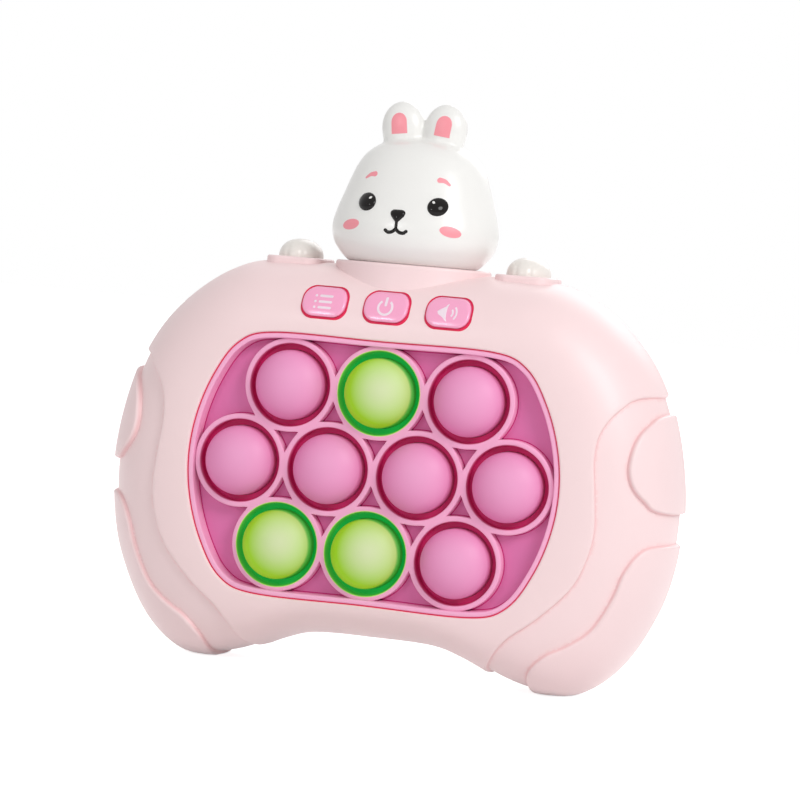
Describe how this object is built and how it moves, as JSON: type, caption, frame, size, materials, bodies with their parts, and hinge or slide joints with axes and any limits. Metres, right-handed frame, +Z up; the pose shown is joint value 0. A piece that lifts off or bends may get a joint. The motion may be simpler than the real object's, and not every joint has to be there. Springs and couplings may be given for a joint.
{
  "type": "handheld electronic push-bubble game",
  "caption": "Handheld game in two pink shells with light-up silicone push bubbles in a window, small buttons, battery bay and a rabbit head on top.",
  "frame": {"origin": "on the floor under the middle of the whole game's box, between the flats of the two grips", "axes": "+Z up through the rabbit head, +X to the viewer's right along the widest direction, -Y out of the front towards the player"},
  "size_m": [0.155, 0.05, 0.1508],
  "materials": {
    "shell_plastic": "satin moulded",
    "pink_silicone": "satin translucent",
    "lit_silicone": "satin translucent, lit from behind",
    "button_plastic": "gloss",
    "white_plastic": "gloss",
    "clear_plastic": "milky clear",
    "board_laminate": "solder mask",
    "grey_rubber": "matt",
    "plated_steel": "nickel plated",
    "cell_jacket": "printed jacket",
    "black_plastic": "matt",
    "red_insulation": "satin"
  },
  "bodies": {
    "console": {"front_shell": "shell_plastic", "rear_shell": "shell_plastic", "bubble_sheet": "pink_silicone", "guide_frame": "clear_plastic", "contact_mat": "grey_rubber", "main_board": "board_laminate", "head_light_board": "board_laminate", "head_front": "white_plastic", "head_rear": "white_plastic", "paw_left": "white_plastic", "paw_right": "white_plastic", "battery_1": "cell_jacket", "battery_2": "cell_jacket", "battery_3": "cell_jacket", "contact_positive": "plated_steel", "contact_negative": "plated_steel", "contact_link_left": "plated_steel", "contact_link_right": "plated_steel", "speaker_basket": "black_plastic", "speaker_cone": "black_plastic", "case_screw_1": "plated_steel", "case_screw_2": "plated_steel", "case_screw_3": "plated_steel", "case_screw_4": "plated_steel", "case_screw_5": "plated_steel", "case_screw_6": "plated_steel", "stack_screw_1": "plated_steel", "stack_screw_2": "plated_steel", "stack_screw_3": "plated_steel", "stack_screw_4": "plated_steel", "battery_wire_red": "red_insulation", "battery_wire_black": "black_plastic", "speaker_wires": "red_insulation", "head_wires": "black_plastic"},
    "bubble_key_01": {"bubble_01": "pink_silicone", "light_cap_01": "clear_plastic"},
    "bubble_key_02": {"bubble_02": "lit_silicone", "light_cap_02": "clear_plastic"},
    "bubble_key_03": {"bubble_03": "pink_silicone", "light_cap_03": "clear_plastic"},
    "bubble_key_04": {"bubble_04": "pink_silicone", "light_cap_04": "clear_plastic"},
    "bubble_key_05": {"bubble_05": "pink_silicone", "light_cap_05": "clear_plastic"},
    "bubble_key_06": {"bubble_06": "pink_silicone", "light_cap_06": "clear_plastic"},
    "bubble_key_07": {"bubble_07": "pink_silicone", "light_cap_07": "clear_plastic"},
    "bubble_key_08": {"bubble_08": "lit_silicone", "light_cap_08": "clear_plastic"},
    "bubble_key_09": {"bubble_09": "lit_silicone", "light_cap_09": "clear_plastic"},
    "bubble_key_10": {"bubble_10": "pink_silicone", "light_cap_10": "clear_plastic"},
    "menu_key": {"menu_button": "button_plastic"},
    "power_key": {"power_button": "button_plastic"},
    "volume_key": {"volume_button": "button_plastic"},
    "door": {"battery_door": "shell_plastic", "battery_door_screw": "plated_steel"}
  },
  "joints": [
    {"name": "push_bubble_01", "type": "slide", "parent": "console", "child": "bubble_key_01", "axis": [0, 1, 0], "range_m": [0, 0.003], "stiffness_N_per_m": 600},
    {"name": "push_bubble_02", "type": "slide", "parent": "console", "child": "bubble_key_02", "axis": [0, 1, 0], "range_m": [0, 0.003], "stiffness_N_per_m": 600},
    {"name": "push_bubble_03", "type": "slide", "parent": "console", "child": "bubble_key_03", "axis": [0, 1, 0], "range_m": [0, 0.003], "stiffness_N_per_m": 600},
    {"name": "push_bubble_04", "type": "slide", "parent": "console", "child": "bubble_key_04", "axis": [0, 1, 0], "range_m": [0, 0.003], "stiffness_N_per_m": 600},
    {"name": "push_bubble_05", "type": "slide", "parent": "console", "child": "bubble_key_05", "axis": [0, 1, 0], "range_m": [0, 0.003], "stiffness_N_per_m": 600},
    {"name": "push_bubble_06", "type": "slide", "parent": "console", "child": "bubble_key_06", "axis": [0, 1, 0], "range_m": [0, 0.003], "stiffness_N_per_m": 600},
    {"name": "push_bubble_07", "type": "slide", "parent": "console", "child": "bubble_key_07", "axis": [0, 1, 0], "range_m": [0, 0.003], "stiffness_N_per_m": 600},
    {"name": "push_bubble_08", "type": "slide", "parent": "console", "child": "bubble_key_08", "axis": [0, 1, 0], "range_m": [0, 0.003], "stiffness_N_per_m": 600},
    {"name": "push_bubble_09", "type": "slide", "parent": "console", "child": "bubble_key_09", "axis": [0, 1, 0], "range_m": [0, 0.003], "stiffness_N_per_m": 600},
    {"name": "push_bubble_10", "type": "slide", "parent": "console", "child": "bubble_key_10", "axis": [0, 1, 0], "range_m": [0, 0.003], "stiffness_N_per_m": 600},
    {"name": "push_menu", "type": "slide", "parent": "console", "child": "menu_key", "axis": [0, 1, 0], "range_m": [0, 0.001], "stiffness_N_per_m": 400},
    {"name": "push_power", "type": "slide", "parent": "console", "child": "power_key", "axis": [0, 1, 0], "range_m": [0, 0.001], "stiffness_N_per_m": 400},
    {"name": "push_volume", "type": "slide", "parent": "console", "child": "volume_key", "axis": [0, 1, 0], "range_m": [0, 0.001], "stiffness_N_per_m": 400},
    {"name": "lift_door", "type": "slide", "parent": "console", "child": "door", "axis": [0, 1, 0], "range_m": [0, 0.03]}
  ]
}
